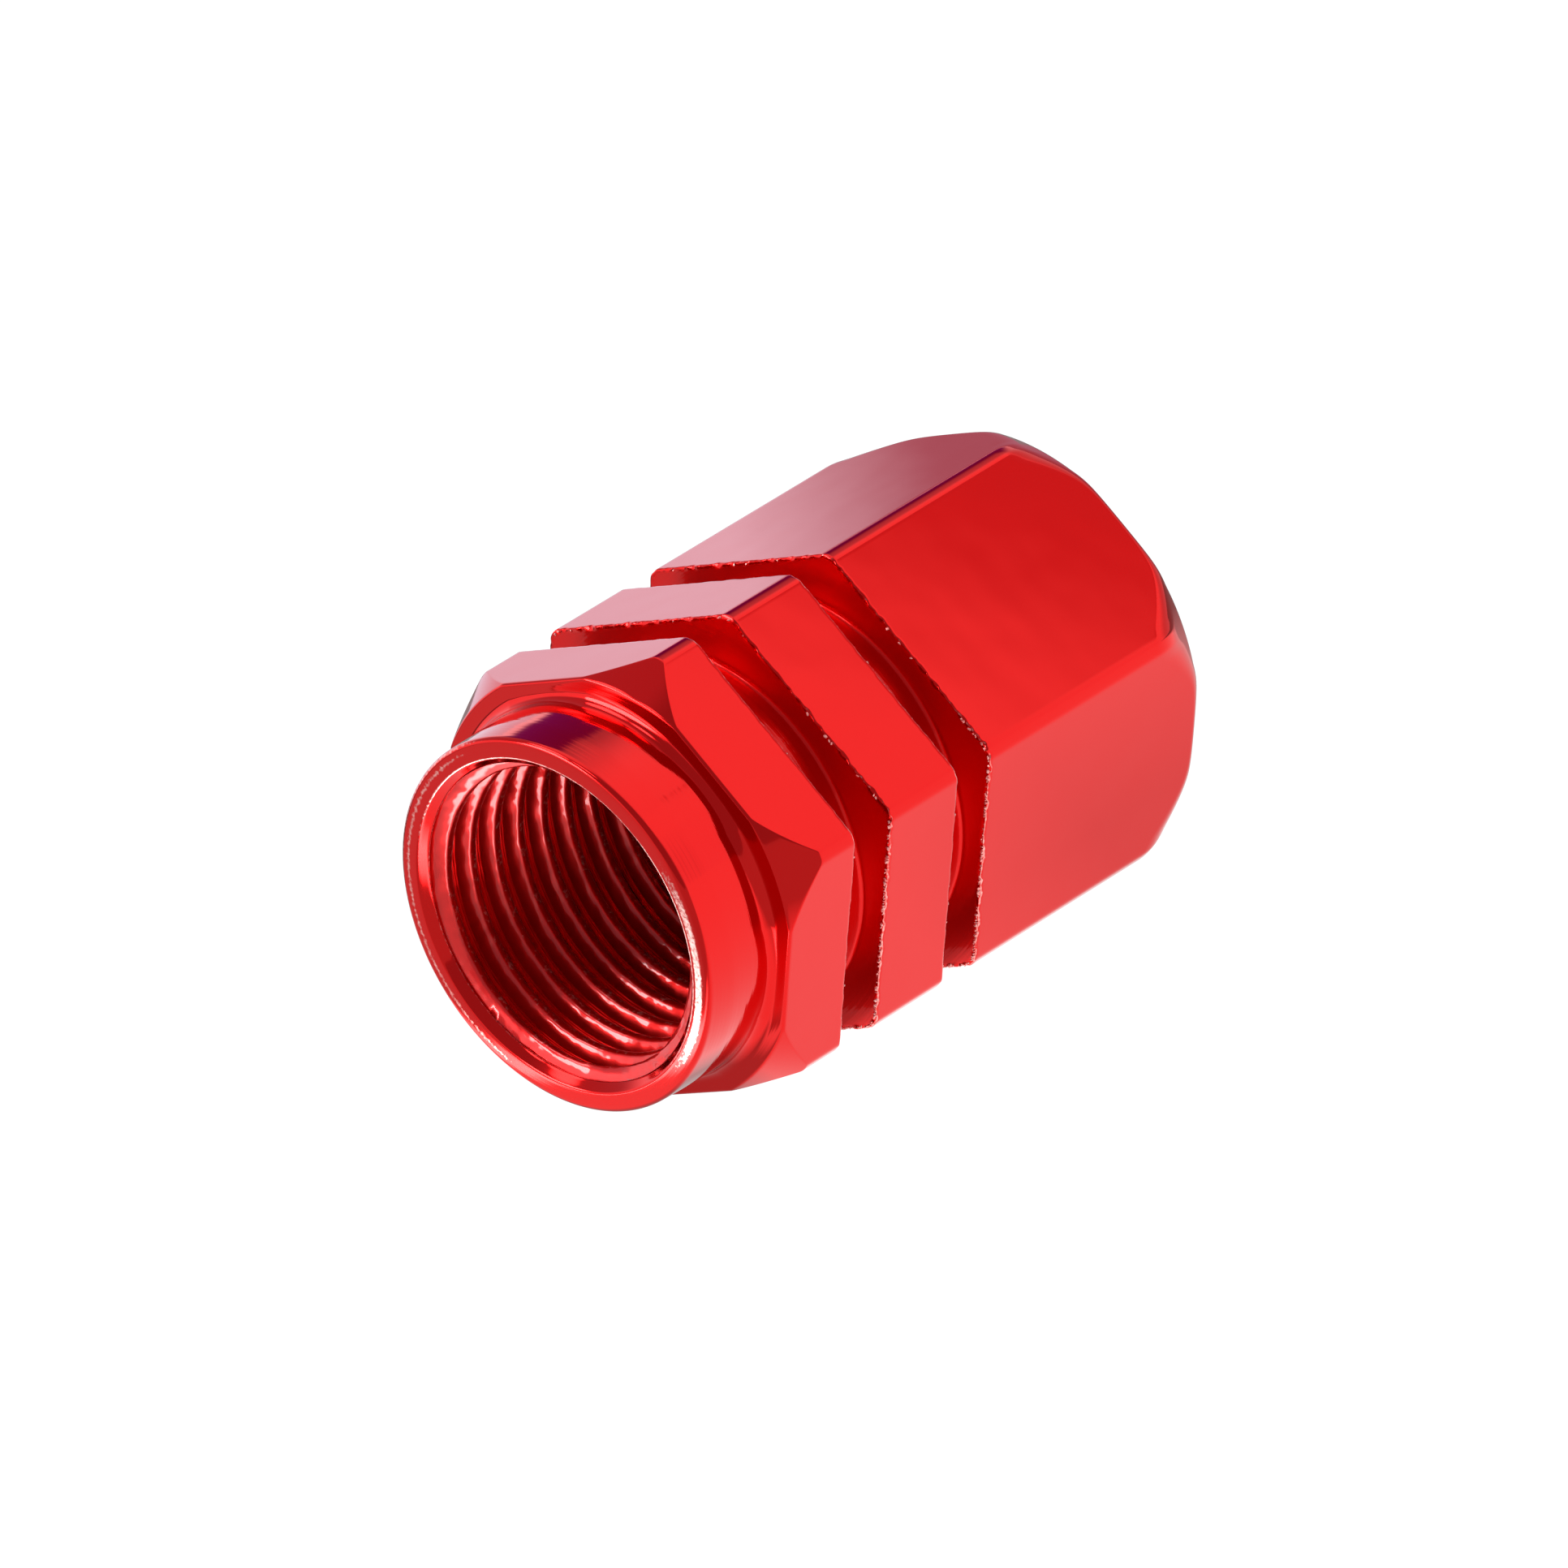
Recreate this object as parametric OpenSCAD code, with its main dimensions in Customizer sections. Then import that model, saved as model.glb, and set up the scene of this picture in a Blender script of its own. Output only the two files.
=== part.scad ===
// Tyre valve cap turned from hexagon bar, lying on one of its flats.
// The cap is drawn along its own turning axis, mouth at 0 and closed end at
// cap_length, and is then laid down: mouth towards -X, closed end towards +X.
// The origin is the middle of the footprint, on the surface that the cap rests on.

/* [Hexagon bar] */
// Whole length of the cap
cap_length = 16; // [14:0.5:24]
// Width across two opposite flats of the hexagon
across_flats = 9.9; // [9.7:0.1:12]
// How much the turned corners take off the distance across the sharp corners
corner_break = 0.15; // [0.05:0.05:0.4]

/* [Collar] */
// Outside diameter of the round collar at the mouth
collar_d = 9; // [8.8:0.1:9.4]
// Length from the rim to the step where the hexagon begins
collar_length = 2.05; // [1.6:0.05:2.6]
// Radius of the hollow corner between the collar and the step
collar_fillet = 0.42; // [0.1:0.02:0.5]
// Radius on the outer edge of the rim
rim_round = 0.2; // [0.05:0.01:0.24]

/* [Chamfers] */
// Slope of both turned chamfers, measured from the axis
chamfer_angle = 30; // [20:1:45]
// Length of the chamfer on the corners behind the collar
front_chamfer_length = 0.95; // [0.4:0.05:1.4]
// Length of the chamfer on the corners at the closed end
rear_chamfer_length = 1.1; // [0.4:0.05:2.5]
// Radius on the edge of the closed end
end_round = 0.25; // [0.05:0.05:0.6]

/* [Grooves] */
// Distance from the rim to the front wall of the first groove
first_groove_start = 4.1; // [3.9:0.1:4.4]
// Width of the first groove
first_groove_w = 1.2; // [0.6:0.1:1.6]
// Width of the hexagon ring left between the grooves
ring_w = 2.25; // [1:0.05:2.6]
// Width of the second groove
second_groove_w = 1.1; // [0.6:0.1:1.6]
// Diameter at the floor of both grooves
groove_floor_d = 8.6; // [8.5:0.05:9]
// Radius in the corners of the groove floors
groove_fillet = 0.12; // [0.05:0.01:0.25]

/* [Bore] */
// Diameter of the bore, which is the crest diameter of the valve thread
bore_d = 7; // [6.9:0.05:7.1]
// Diameter of the opening at the rim, where the countersink starts
mouth_d = 8; // [7.7:0.05:8.2]
// Length from the rim to the end of the thread
thread_length = 9.4; // [8.5:0.1:10.5]
// Diameter of the relief that is turned behind the thread for the seal
relief_d = 7.9; // [7.6:0.05:8]
// Slope of the point that the drill leaves in the bottom, from the axis
drill_point_angle = 59; // [45:1:70]
// Diameter of the drill point in the bottom
drill_point_d = 4; // [2:0.5:5]

/* [Sealing washer] */
// Thickness of the rubber washer
washer_t = 1.5; // [1:0.1:2]
// Diameter of the hole in the washer
washer_hole_d = 3.6; // [1:0.1:5]
// Gap between the washer and the wall of the relief, all round
washer_clearance = 0.05; // [0.02:0.01:0.2]
// Gap between the washer and the last thread
washer_play = 0.1; // [0.05:0.05:0.4]

/* [Hidden] */
$fn = 96;
// What a cutter runs past the surface that it starts from
overrun = 1;

first_groove_end = first_groove_start + first_groove_w;
second_groove_start = first_groove_end + ring_w;
relief_length = washer_play + washer_t;
bore_bottom = thread_length + relief_length;
drill_point_length = drill_point_d / 2 / tan(drill_point_angle);
countersink_depth = (mouth_d - bore_d) / 2;
sharp_corner_r = across_flats / 2 / cos(30);
corner_r = sharp_corner_r - corner_break / 2;
front_chamfer_r = corner_r - front_chamfer_length * tan(chamfer_angle);
rear_chamfer_r = corner_r - rear_chamfer_length * tan(chamfer_angle);

// Turns a half section, drawn as [radius, distance from the rim], round the axis.
module turned() {
    rotate_extrude() children();
}

// Hexagon bar with two of its flats level once the cap is laid down.
module hexagon_bar() {
    linear_extrude(cap_length) {
        polygon([for (k = [0:5]) sharp_corner_r * [cos(60 * k + 30), sin(60 * k + 30)]]);
    }
}

// Half section of the rim's rounded outer edge, collar, step and both chamfers.
module outer_section() {
    collar_r = collar_d / 2;
    step_h = front_chamfer_r - collar_r;
    difference() {
        polygon([
            [0, 0],
            [collar_r, 0],
            [collar_r, collar_length],
            [front_chamfer_r, collar_length],
            [corner_r, collar_length + front_chamfer_length],
            [corner_r, cap_length - rear_chamfer_length],
            [rear_chamfer_r, cap_length],
            [0, cap_length]
        ]);
        outer_rounding(collar_r, 0, rim_round);
        end_rounding();
    }
    inner_fillet(collar_r, collar_length, min(collar_fillet, step_h));
}

// Sliver outside a rounded edge whose sharp corner is at radius r, distance z.
module outer_rounding(r, z, round_r) {
    difference() {
        translate([r - round_r, z - overrun]) square([round_r + overrun, round_r + overrun]);
        translate([r - round_r, z + round_r]) circle(round_r);
    }
}

// Sliver outside the rounded edge between the rear chamfer and the closed end.
module end_rounding() {
    tangent = end_round * tan((90 - chamfer_angle) / 2);
    arc_r = rear_chamfer_r - tangent;
    difference() {
        polygon([
            [arc_r, cap_length - end_round],
            [arc_r, cap_length + overrun],
            [rear_chamfer_r + overrun, cap_length + overrun],
            [rear_chamfer_r + tangent * sin(chamfer_angle), cap_length - tangent * cos(chamfer_angle)]
        ]);
        translate([arc_r, cap_length - end_round]) circle(end_round);
    }
}

// Metal left in a hollow corner where a cylinder of radius r meets a step at z.
module inner_fillet(r, z, fillet_r) {
    difference() {
        translate([r, z - fillet_r]) square(fillet_r);
        translate([r + fillet_r, z - fillet_r]) circle(fillet_r);
    }
}

// Half section of one groove, open outwards, with small fillets on its floor.
module groove_section(start, width) {
    floor_r = groove_floor_d / 2;
    deep_w = width - 2 * groove_fillet;
    translate([floor_r, start + groove_fillet]) square([sharp_corner_r, deep_w]);
    translate([floor_r + groove_fillet, start]) square([sharp_corner_r, width]);
    for (side = [groove_fillet, width - groove_fillet]) {
        translate([floor_r + groove_fillet, start + side]) circle(groove_fillet);
    }
}

// Half section of the countersink, the bore, the relief and the drill point.
module bore_section() {
    polygon([
        [0, -overrun],
        [mouth_d / 2 + overrun, -overrun],
        [bore_d / 2, countersink_depth],
        [bore_d / 2, thread_length],
        [relief_d / 2, thread_length],
        [relief_d / 2, bore_bottom],
        [drill_point_d / 2, bore_bottom],
        [0, bore_bottom + drill_point_length]
    ]);
}

// Lays a thing drawn along the turning axis down on its flat.
module laid_down() {
    translate([-cap_length / 2, 0, across_flats / 2]) rotate([0, 90, 0]) children();
}

// Cap body: one piece of hexagon bar, turned, grooved and drilled.
module cap_body() {
    color("crimson") laid_down() difference() {
        intersection() {
            hexagon_bar();
            turned() outer_section();
        }
        turned() groove_section(first_groove_start, first_groove_w);
        turned() groove_section(second_groove_start, second_groove_w);
        turned() bore_section();
    }
}

// Rubber washer on the bottom of the bore, held there by the last thread.
module sealing_washer() {
    outer_r = relief_d / 2 - washer_clearance;
    color("dimgray") laid_down() translate([0, 0, bore_bottom - washer_t]) difference() {
        cylinder(h = washer_t, r = outer_r);
        translate([0, 0, -overrun]) cylinder(h = washer_t + 2 * overrun, d = washer_hole_d);
    }
}

cap_body();
sealing_washer();
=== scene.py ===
# %% [markdown]
# A tyre valve cap in red anodised aluminium
#
# The real cap is cut from one length of hexagon bar. A lathe turns the collar, the step, the
# chamfers and two grooves, a drill and a tap make the threaded bore, and a rubber washer is
# pushed to the bottom. The blank is then polished, dyed red and sealed. This lesson dresses
# the measured model with that finish, one piece or one finish at a time.

# %% Load the measured model
import math

import bmesh
import bpy
import numpy as np
from mathutils import Matrix, Vector, noise


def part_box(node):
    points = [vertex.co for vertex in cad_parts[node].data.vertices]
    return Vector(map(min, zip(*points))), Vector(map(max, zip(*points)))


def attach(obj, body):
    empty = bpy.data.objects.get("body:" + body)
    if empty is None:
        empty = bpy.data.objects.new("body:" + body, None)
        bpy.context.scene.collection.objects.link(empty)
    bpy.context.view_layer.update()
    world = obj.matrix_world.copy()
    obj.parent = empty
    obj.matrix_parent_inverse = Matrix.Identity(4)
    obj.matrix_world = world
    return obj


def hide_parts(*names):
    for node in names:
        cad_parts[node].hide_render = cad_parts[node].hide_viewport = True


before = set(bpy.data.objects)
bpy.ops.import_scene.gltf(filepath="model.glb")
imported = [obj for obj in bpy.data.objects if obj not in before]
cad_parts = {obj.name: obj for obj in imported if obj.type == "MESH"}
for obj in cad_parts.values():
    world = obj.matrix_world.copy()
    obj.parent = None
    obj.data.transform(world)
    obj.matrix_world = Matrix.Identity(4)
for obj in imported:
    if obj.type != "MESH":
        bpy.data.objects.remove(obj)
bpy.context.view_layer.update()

MM = 0.001

# %% [markdown]
# Sizes
#
# A modelled part is easiest to change when each size is written once. The box of the measured
# body gives the length, the flats and the rounded corners. What a lathe tool cut inside that
# box is given here in millimetres, measured from the rim along the axis. A side of the hexagon
# spans 60 degrees round the axis, so half a side spans 30.

# %% Sizes of the cap
low, high = (np.array(corner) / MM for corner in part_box("cap_body"))
CAP_LENGTH = float(high[0] - low[0])
HALF_FLATS = float(high[2] - low[2]) / 2
ROUND_CORNER_R = float(high[1] - low[1]) / 2
HALF_SIDE = math.radians(30)
SHARP_CORNER_R = HALF_FLATS / math.cos(HALF_SIDE)
MOUTH_X = float(low[0])
AXIS_Z = HALF_FLATS

# Collar, chamfers and closed end
COLLAR_R = 4.5
COLLAR_LENGTH = 2.05
COLLAR_FILLET = 0.42
RIM_ROUND = 0.2
CHAMFER_SLOPE = math.tan(math.radians(30))
FRONT_CHAMFER = 0.95
REAR_CHAMFER = 1.1
END_ROUND = 0.4

# Walls and floors of the two grooves
RING_EDGES = (4.1, 5.3, 7.55, 8.65)
GROOVE_FLOOR_R = 4.3
GROOVE_FILLET = 0.12

# Mouth, thread and bottom of the bore
MOUTH_R = 4.0
THREAD_ROOT_R = 3.9
THREAD_CREST_R = 3.5
THREAD_PITCH = 0.794
THREAD_END = 9.4
RELIEF_R = 3.95
BORE_BOTTOM = 11.0
DRILL_POINT_R = 2.0
DRILL_POINT_DEPTH = 1.2

widths = (CAP_LENGTH, 2 * HALF_FLATS, 2 * ROUND_CORNER_R)
print("length %.2f, across flats %.2f, across corners %.2f mm" % widths)

# %% [markdown]
# The camera
#
# A small part is photographed from far away with a long lens, so parallel edges stay nearly
# parallel. The camera here looks at the middle of the cap from half a metre away, low over
# the floor, and leans to one side so that the cap seems to rise to the right.

# %% Place the camera
CAMERA_AZIMUTH = math.radians(-41.472)
CAMERA_ELEVATION = math.radians(13.809)
CAMERA_ROLL = math.radians(-19.627)
CAMERA_DISTANCE = 492.7
CAMERA_AIM = Vector((-0.174, 0.145, 4.923))
CAMERA_LENS = 513.24
SENSOR_WIDTH = 36
CLIP_RANGE = (0.01, 20)


def towards(azimuth, elevation):
    """Unit vector from the cap towards a compass direction, azimuth 0 being -Y."""
    flat = math.cos(elevation)
    return Vector((math.sin(azimuth) * flat, -math.cos(azimuth) * flat, math.sin(elevation)))


camera = bpy.data.objects.new("camera", bpy.data.cameras.new("camera"))
bpy.context.collection.objects.link(camera)
back = towards(CAMERA_AZIMUTH, CAMERA_ELEVATION)
camera.location = (CAMERA_AIM + back * CAMERA_DISTANCE) * MM
level = (-back).to_track_quat("-Z", "Y").to_matrix()
camera.rotation_euler = (level @ Matrix.Rotation(CAMERA_ROLL, 3, "Z")).to_euler()
camera.data.sensor_width = SENSOR_WIDTH
camera.data.lens = CAMERA_LENS
camera.data.clip_start, camera.data.clip_end = CLIP_RANGE
bpy.context.scene.camera = camera
print("camera stands at", [round(v, 3) for v in camera.location], "m")

# %% [markdown]
# Colour and shader helpers
#
# Colours are picked in sRGB, the way a colour chart prints them, but Cycles mixes light in
# linear numbers, so one function converts them. A second function adds any shader node with
# its settings and its links, which keeps each material down to a short list.


# %% Helpers for materials
def colour(code):
    """Linear red, green, blue and alpha of a six-figure sRGB hex colour."""
    parts = [int(code[i:i + 2], 16) / 255 for i in (0, 2, 4)]
    return [p / 12.92 if p <= 0.04045 else ((p + 0.055) / 1.055) ** 2.4 for p in parts] + [1.0]


def add(tree, kind, links=(), values=(), **settings):
    """A new node with its settings, its socket values and what feeds it: {input: output}."""
    node = tree.nodes.new(kind)
    for name, value in settings.items():
        setattr(node, name, value)
    for name, value in dict(values).items():
        node.inputs[name].default_value = value
    for name, source in dict(links).items():
        tree.links.new(source, node.inputs[name])
    return node


def new_material(name):
    """An empty node material and its tree."""
    material = bpy.data.materials.new(name)
    material.use_nodes = True
    material.node_tree.nodes.clear()
    return material, material.node_tree


# %% [markdown]
# Anodised aluminium
#
# Bright-dipped aluminium is almost a mirror. Anodising grows a clear, hard film on it that
# soaks up red dye, so every reflection is tinted red, and only a thin glossy skin on top
# reflects white light. Seen at a low angle that skin wins, which is why the top flat looks
# pink. Where a turning tool or a knock broke the film, pale metal shows through. Turned faces
# also carry fine rings, which are drawn a little coarser than real ones so that they show. Two
# marks on each mesh tell the material how a face was made and how pale it is. The pale colour
# is bare metal where the film is worn, and round the mouth it is also painted highlight.

# %% Make the anodised aluminium
RED_DYE = "DB0705"
# Pale colour of bare metal, also used to paint highlights round the mouth.
BARE_METAL_AND_HIGHLIGHT = "FFD2CA"
POLISHED, TURNED, DULL = 0, 1, 2
TURNING_PITCH_MM = 0.09
TURNING_DEPTH_MM = 0.004
TURNING_STRENGTH = 0.35
WAVE_STRENGTH = 0.5
GRAIN_MM = 0.09
BARE_AND_HIGHLIGHT_RANGE = (1.1, 1.7)
DULL_GROOVE = 0.22
COAT_ROUGHNESS = 0.04
COAT_IOR = 1.5


def anodised_aluminium(name, dye, gloss_range, metallic, coat, wave_size, wave_depth):
    """Dyed film on metal, with the roughness of the film and of bare metal as gloss_range."""
    material, tree = new_material(name)
    place = add(tree, "ShaderNodeTexCoord").outputs["Object"]
    centred = add(
        tree, "ShaderNodeVectorMath", {0: place}, {1: (0, 0, -AXIS_Z * MM)}, operation="ADD",
    )
    axes = add(tree, "ShaderNodeSeparateXYZ", {0: centred.outputs[0]})
    across = add(tree, "ShaderNodeCombineXYZ", {"X": axes.outputs["Y"], "Y": axes.outputs["Z"]})
    radius = add(tree, "ShaderNodeVectorMath", {0: across.outputs[0]}, operation="LENGTH")
    travel = add(
        tree, "ShaderNodeMath", {0: axes.outputs["X"], 1: radius.outputs["Value"]}, operation="ADD",
    )
    turned = add(tree, "ShaderNodeAttribute", attribute_name="turned").outputs["Fac"]
    wear_and_highlight = add(tree, "ShaderNodeAttribute", attribute_name="wear_and_highlight").outputs["Fac"]

    rings = add(
        tree, "ShaderNodeTexNoise", {"W": travel.outputs[0]},
        {"Scale": 1 / (TURNING_PITCH_MM * MM), "Detail": 2.0}, noise_dimensions="1D",
    )
    ring_height = add(
        tree, "ShaderNodeMath", {0: rings.outputs["Fac"], 1: turned}, operation="MULTIPLY",
    )
    ring_bump = add(
        tree, "ShaderNodeBump", {"Height": ring_height.outputs[0]},
        {"Strength": TURNING_STRENGTH, "Distance": TURNING_DEPTH_MM * MM},
    )
    waves = add(
        tree, "ShaderNodeTexNoise", {"Vector": place}, {"Scale": 1 / (wave_size * MM), "Detail": 1.0},
    )
    wave_bump = add(
        tree, "ShaderNodeBump", {"Height": waves.outputs["Fac"], "Normal": ring_bump.outputs[0]},
        {"Strength": WAVE_STRENGTH, "Distance": wave_depth * MM},
    )

    grains = add(
        tree, "ShaderNodeTexNoise", {"Vector": place}, {"Scale": 1 / (GRAIN_MM * MM), "Detail": 3.0},
    )
    # Pale where the film is worn bare, and where highlights are painted round the mouth.
    wear_and_highlight_grain = add(tree, "ShaderNodeMath", {0: grains.outputs["Fac"], 1: wear_and_highlight}, operation="ADD")
    bare_and_highlight = add(
        tree, "ShaderNodeMapRange", {"Value": wear_and_highlight_grain.outputs[0]},
        {"From Min": BARE_AND_HIGHLIGHT_RANGE[0], "From Max": BARE_AND_HIGHLIGHT_RANGE[1]},
    )
    tint = add(
        tree, "ShaderNodeMix", {"Factor": bare_and_highlight.outputs[0]},
        {"A": colour(dye), "B": colour(BARE_METAL_AND_HIGHLIGHT)}, data_type="RGBA",
    )
    film_gloss, bare_gloss = gloss_range
    polished = add(
        tree, "ShaderNodeMapRange", {"Value": turned},
        {
            "From Min": TURNED, "From Max": DULL,
            "To Min": film_gloss, "To Max": film_gloss + DULL_GROOVE,
        },
    )
    gloss = add(
        tree, "ShaderNodeMath", {0: bare_and_highlight.outputs[0], 2: polished.outputs[0]},
        {1: bare_gloss - film_gloss}, operation="MULTIPLY_ADD",
    )
    metal = add(
        tree, "ShaderNodeBsdfPrincipled",
        {
            "Base Color": tint.outputs["Result"], "Roughness": gloss.outputs[0],
            "Normal": wave_bump.outputs[0], "Coat Normal": wave_bump.outputs[0],
        },
        {
            "Metallic": metallic, "Coat Weight": coat,
            "Coat Roughness": COAT_ROUGHNESS, "Coat IOR": COAT_IOR,
        },
    )
    add(tree, "ShaderNodeOutputMaterial", {"Surface": metal.outputs[0]})
    return material


CAP_METAL = anodised_aluminium(
    "anodised_aluminium", RED_DYE, gloss_range=(0.09, 0.4), metallic=1.0, coat=0.35,
    wave_size=1.6, wave_depth=0.012,
)
print("made", CAP_METAL.name, "with", len(CAP_METAL.node_tree.nodes), "nodes")

# %% [markdown]
# The same finish on tapped metal
#
# A tap presses and tears the metal where a lathe slices it, so the flanks of a thread come out
# satin and a little wavy, and the film on them is thick with dye. Its red is also drawn darker
# than outside as painted shade deep in the bore. To the eye the valleys are a soft, deep red,
# and only the crests glint. It is the same material with other numbers: a darker red, less of
# a mirror below, rougher on the flanks than on the rubbed crests, and a fuller clear skin.

# %% Make the tapped aluminium
# Darker than the outside dye: partly dye, partly painted shade in the bore.
TAPPED_DYE_AND_SHADE = "C40604"
TAPPED_METAL = anodised_aluminium(
    "tapped_aluminium", TAPPED_DYE_AND_SHADE, gloss_range=(0.36, 0.2), metallic=0.75, coat=0.8,
    wave_size=0.5, wave_depth=0.08,
)
print("made", TAPPED_METAL.name, "with", len(TAPPED_METAL.node_tree.nodes), "nodes")

# %% [markdown]
# The cap's body, slice by slice
#
# A hexagon bar met by a lathe tool could be made with a Boolean, but the thin arcs where each
# cone runs out on a flat would come back as ragged triangles, and a mirror finish shows every
# one. So the body is drawn as many thin slices through the axis. In each slice the outline is
# the turned section cut off at the hexagon's own radius, every corner gets its small rounding,
# and all slices have the same number of points, so they join into one closed, even skin.

# %% The hexagon's radius in every direction
CORNER_ROUND = (SHARP_CORNER_R - ROUND_CORNER_R) / (1 / math.cos(HALF_SIDE) - 1)
FLAT_STEPS = 80
BEND_STEPS = 5
BEND_REACH = 0.07


def hexagon_outline():
    """Angle round the axis and radius there for each slice, six equal sides one after another."""
    reach = math.sqrt(ROUND_CORNER_R ** 2 - HALF_FLATS ** 2)
    bend = np.array([HALF_FLATS, reach])
    tip = ROUND_CORNER_R * np.array([math.cos(HALF_SIDE), math.sin(HALF_SIDE)])
    before = bend - np.array([0, BEND_REACH])
    after = bend + BEND_REACH * (tip - bend) / np.linalg.norm(tip - bend)
    share = np.linspace(0, 1, BEND_STEPS)[:, None]
    curve = (1 - share) ** 2 * before + 2 * share * (1 - share) * bend + share ** 2 * after
    flat = np.stack([np.full(FLAT_STEPS, HALF_FLATS), np.linspace(-before[1], before[1], FLAT_STEPS)], 1)
    half = np.concatenate([flat, curve[1:], [tip]])
    angle = np.arctan2(half[:, 1], half[:, 0])
    radius = np.hypot(half[:, 0], half[:, 1])
    angle = np.concatenate([angle, 2 * HALF_SIDE - angle[-2:FLAT_STEPS - 1:-1]])
    radius = np.concatenate([radius, radius[-2:FLAT_STEPS - 1:-1]])
    angles = np.concatenate([angle + math.radians(60 * k) for k in range(6)])
    return angles, np.tile(radius, 6)


ANGLES, HEX_R = hexagon_outline()
print(len(ANGLES), "slices, corner rounding %.2f mm" % CORNER_ROUND)

# %% [markdown]
# Torn and rubbed edges
#
# The tool meets a flat of the hexagon again and again while the bar turns, so the edges of a
# groove are never clean. The edge towards the mouth is rubbed to a thin bare line, brightest
# at the corners. The far edge is torn, most of all low down, and wanders along the axis. A
# noise that is read along the edge gives each slice its own small shift, the same every time.

# %% Uneven edges from the turning tool
EDGE_BREAK = 0.07
EDGE_BREAK_LIMITS = (0.025, 0.12)
BURR_TRAVEL = (0.014, 0.075, 0.016, 0.07)
FINE_GRAIN = 0.16
MIDDLE_GRAIN = 0.3
COARSE_GRAIN = 0.45
SEED_STEP = 7.3


def side(direction, middle, slope):
    """Share from 0 to 1 in each slice, by how far it faces so many degrees from straight up."""
    return np.clip(middle + slope * np.cos(ANGLES - math.radians(direction)), 0, 1)


LOW_SIDE = side(0, 0.5, -1.3)


def rough_line(seed, grain):
    """A repeatable uneven number from about -1 to 1 for each slice; grain is its size in mm."""
    rim = np.stack([np.cos(ANGLES), np.sin(ANGLES)], 1) * HEX_R[:, None] / grain
    return np.array([noise.noise(Vector((y, z, seed * SEED_STEP))) * 2 for y, z in rim])


def is_torn(number):
    """Whether a groove edge is the torn one of its pair, the one further from the mouth."""
    return number % 2 == 1


def edge_line(number):
    """How far one groove edge wanders along the axis, and how wide its broken corner is."""
    saw = 0.6 * rough_line(number, FINE_GRAIN) + 0.4 * rough_line(number + 20, COARSE_GRAIN)
    share = 0.5 + 0.9 * LOW_SIDE if is_torn(number) else 0.6
    width = EDGE_BREAK * share * (1 + 0.6 * rough_line(number + 40, MIDDLE_GRAIN))
    return BURR_TRAVEL[number] * saw, np.clip(width, *EDGE_BREAK_LIMITS)


def edge_wear(number):
    """How bare one groove edge is in each slice: torn low down, or rubbed at the corners."""
    if is_torn(number):
        return 0.55 + 0.35 * LOW_SIDE
    corner = (HEX_R - HALF_FLATS) / (ROUND_CORNER_R - HALF_FLATS)
    return 0.95 + 0.2 * corner ** 2


print("torn edges wander up to about %.3f mm along the axis" % max(BURR_TRAVEL))

# %% [markdown]
# Small rounded edges
#
# No real edge is quite sharp, and a polished one catches a line of light. A Bevel modifier
# would round all of them alike, so each corner of the outline gets an arc of its own here. The
# arc touches both sides of its corner, and where a side is too short for it, it shrinks. Each
# point is an array with one row for every slice, so one sum rounds all slices at once.

# %% Rounded corners along a slice
ARC_SHARE = 0.48


def spot(x, radius):
    """One outline point, the same kind in every slice, as distance from the rim and radius."""
    return np.stack(np.broadcast_arrays(np.asarray(x, float), np.asarray(radius, float), ANGLES)[:2], 1)


def rounded(before, point, after, radius, steps):
    """Points of a tangent arc that replaces one corner of the outline in every slice."""
    to_before = before - point
    to_after = after - point
    length_before = np.linalg.norm(to_before, axis=1)
    length_after = np.linalg.norm(to_after, axis=1)
    u = to_before / length_before[:, None]
    v = to_after / length_after[:, None]
    half = np.arccos(np.clip((u * v).sum(1), -1, 1)) / 2
    tangent = np.minimum(radius / np.tan(half), ARC_SHARE * np.minimum(length_before, length_after))
    middle = u + v
    middle /= np.linalg.norm(middle, axis=1)[:, None]
    centre = point + middle * (tangent / np.cos(half))[:, None]
    start = point + u * tangent[:, None] - centre
    end = point + v * tangent[:, None] - centre
    sweep = np.pi - 2 * half
    arcs = []
    for share in np.linspace(0, 1, steps):
        a = np.sin((1 - share) * sweep) / np.sin(sweep)
        b = np.sin(share * sweep) / np.sin(sweep)
        arcs.append(centre + start * a[:, None] + end * b[:, None])
    return arcs


print("an arc takes at most %d%% of a side" % (100 * ARC_SHARE))

# %% [markdown]
# The outline, from the drill point to the closed end
#
# The corners of the turned section are listed in the order that a finger would follow: up the
# bore, over the rim, along the collar and the grip, and down the closed end. Each corner
# carries its rounding and the two marks. The first says whether the surface is a polished
# flat, a turned face or a dull groove. The second says how pale it is. Mostly that is wear, but
# round the mouth it also paints highlights: pale metal colour on the top, the near and the far
# side, where light falls on the rims.
# A pair of extra rings beside each arc keeps its shading off the flat face next to it.

# %% The outline of all slices
COLLAR_CROWN = 0.03
CROWN_X = 0.8
CROWN_ROUND = 4.0
STEP_ROUND = 0.05
CHAMFER_ROUND = 0.06
SMALLEST_EDGE = 0.04
END_BREAK = 0.1
END_SOFTNESS = 0.04
REAR_ROUND = 1.8
REAR_SOFTNESS = 0.1
MOUTH_ROUND = 0.1
LIP_DEPTH = 0.2
LIP_LENGTH = 0.12
LIP_R = 3.8
LIP_ROUND = 0.03
# Painted highlight round the mouth: a pale band of metal colour laid where light falls, not wear.
HIGHLIGHT_BAND = (0.1, 0.24)
BAND_HIGHLIGHT = 1.02
CENTRE_R = 1e-4
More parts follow.
